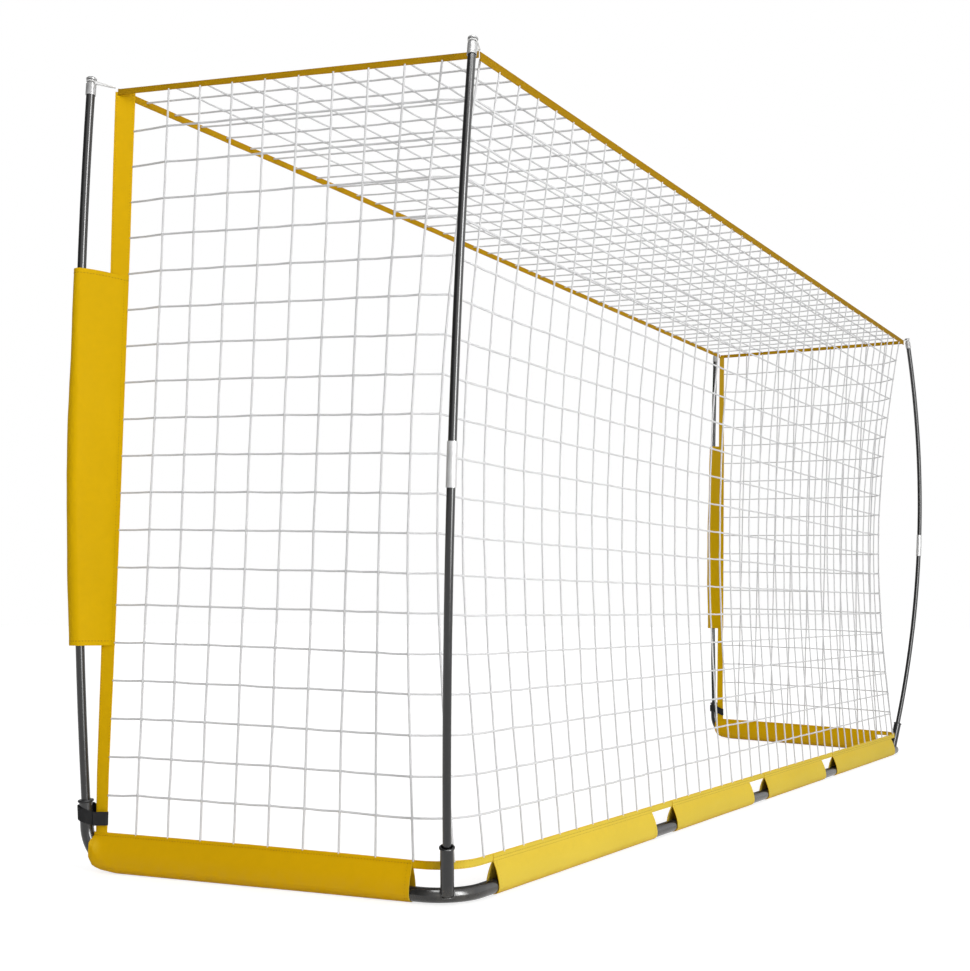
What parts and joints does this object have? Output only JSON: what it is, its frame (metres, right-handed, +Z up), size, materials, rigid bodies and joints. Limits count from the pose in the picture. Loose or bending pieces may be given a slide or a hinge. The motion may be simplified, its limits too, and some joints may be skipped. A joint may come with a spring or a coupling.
{
  "type": "portable football goal",
  "caption": "Knock-down football goal with a steel tube base, bowed corner poles, a white square-mesh net and yellow fabric sleeves",
  "frame": {"origin": "on the ground under the middle of the goal's bounding box", "axes": "+X runs across the mouth to the goal's right as seen from the front, +Y points to the rear, away from the mouth, +Z is up"},
  "size_m": [3.7764, 1.0296, 1.8384],
  "materials": {
    "base_steel": "dark grey powder coat, satin",
    "socket_steel": "dark grey powder coat, slightly glossy",
    "collar": "black moulded plastic",
    "spigot_steel": "plain steel, hidden inside the tubes",
    "button_steel": "bright plated steel",
    "pole": "dark grey fibreglass rod, glossy",
    "ferrule": "bright drawn ferrule",
    "cap": "silver grey moulded cap",
    "cord": "white braided cord",
    "net": "white knotted string",
    "tape": "yellow woven tape in shade",
    "webbing": "golden yellow woven webbing",
    "pocket": "yellow woven polyester, two layers, stitched",
    "strap": "black hook-and-loop strap",
    "sleeve": "yellow woven polyester with a sewn hem"
  },
  "bodies": {
    "goal": {"side_tube_l": "base_steel", "side_tube_r": "base_steel", "corner_tube_l": "base_steel", "corner_tube_r": "base_steel", "back_tube_l": "base_steel", "back_tube_r": "base_steel", "rear_socket_l": "socket_steel", "rear_socket_r": "socket_steel", "front_collar_l": "collar", "front_collar_r": "collar", "joint_spigots": "spigot_steel", "side_net_l": "net", "side_net_r": "net", "back_net": "net", "roof_net": "net", "side_tape_l": "tape", "side_tape_r": "tape", "back_tape": "tape", "crossbar_tape": "tape", "front_webbing_l": "webbing", "front_webbing_r": "webbing", "pole_pocket_l": "pocket", "pole_pocket_r": "pocket", "strap_l": "strap", "strap_r": "strap", "side_sleeve_l": "sleeve", "side_sleeve_r": "sleeve", "corner_hem_l": "sleeve", "corner_hem_r": "sleeve", "back_hem": "sleeve", "back_sleeve_1": "sleeve", "back_sleeve_2": "sleeve", "back_sleeve_3": "sleeve", "back_sleeve_4": "sleeve"},
    "rear_pole_l": {"rear_pole_lower_l": "pole", "rear_pole_upper_l": "pole", "rear_ferrule_l": "ferrule", "rear_cap_l": "cap", "rear_cord_l": "cord"},
    "rear_pole_r": {"rear_pole_lower_r": "pole", "rear_pole_upper_r": "pole", "rear_ferrule_r": "ferrule", "rear_cap_r": "cap", "rear_cord_r": "cord"},
    "front_pole_l": {"front_pole_lower_l": "pole", "front_pole_upper_l": "pole", "front_ferrule_l": "ferrule", "front_cap_l": "cap", "front_cord_l": "cord"},
    "front_pole_r": {"front_pole_lower_r": "pole", "front_pole_upper_r": "pole", "front_ferrule_r": "ferrule", "front_cap_r": "cap", "front_cord_r": "cord"},
    "button_1": {"snap_button_1": "button_steel"},
    "button_2": {"snap_button_2": "button_steel"},
    "button_3": {"snap_button_3": "button_steel"},
    "button_4": {"snap_button_4": "button_steel"},
    "button_5": {"snap_button_5": "button_steel"}
  },
  "joints": [
    {"name": "rear_pole_lift_l", "type": "slide", "parent": "goal", "child": "rear_pole_l", "axis": [-0.2468, 0.1622, 0.9554], "range_m": [0, 0.085]},
    {"name": "rear_pole_lift_r", "type": "slide", "parent": "goal", "child": "rear_pole_r", "axis": [0.2468, 0.1622, 0.9554], "range_m": [0, 0.085]},
    {"name": "front_pole_lift_l", "type": "slide", "parent": "goal", "child": "front_pole_l", "axis": [-0.0745, -0.0348, 0.9966], "range_m": [0, 0.05]},
    {"name": "front_pole_lift_r", "type": "slide", "parent": "goal", "child": "front_pole_r", "axis": [0.0745, -0.0348, 0.9966], "range_m": [0, 0.05]},
    {"name": "button_press_1", "type": "slide", "parent": "goal", "child": "button_1", "axis": [0, 1, 0], "range_m": [0, 0.005], "stiffness_N_per_m": 600, "springref_m": -0.0005},
    {"name": "button_press_2", "type": "slide", "parent": "goal", "child": "button_2", "axis": [0, 1, 0], "range_m": [0, 0.005], "stiffness_N_per_m": 600, "springref_m": -0.0005},
    {"name": "button_press_3", "type": "slide", "parent": "goal", "child": "button_3", "axis": [0, 1, 0], "range_m": [0, 0.005], "stiffness_N_per_m": 600, "springref_m": -0.0005},
    {"name": "button_press_4", "type": "slide", "parent": "goal", "child": "button_4", "axis": [0.0651, -0.0126, -0.9978], "range_m": [0, 0.005], "stiffness_N_per_m": 600, "springref_m": -0.0005},
    {"name": "button_press_5", "type": "slide", "parent": "goal", "child": "button_5", "axis": [-0.0651, -0.0126, -0.9978], "range_m": [0, 0.005], "stiffness_N_per_m": 600, "springref_m": -0.0005}
  ]
}
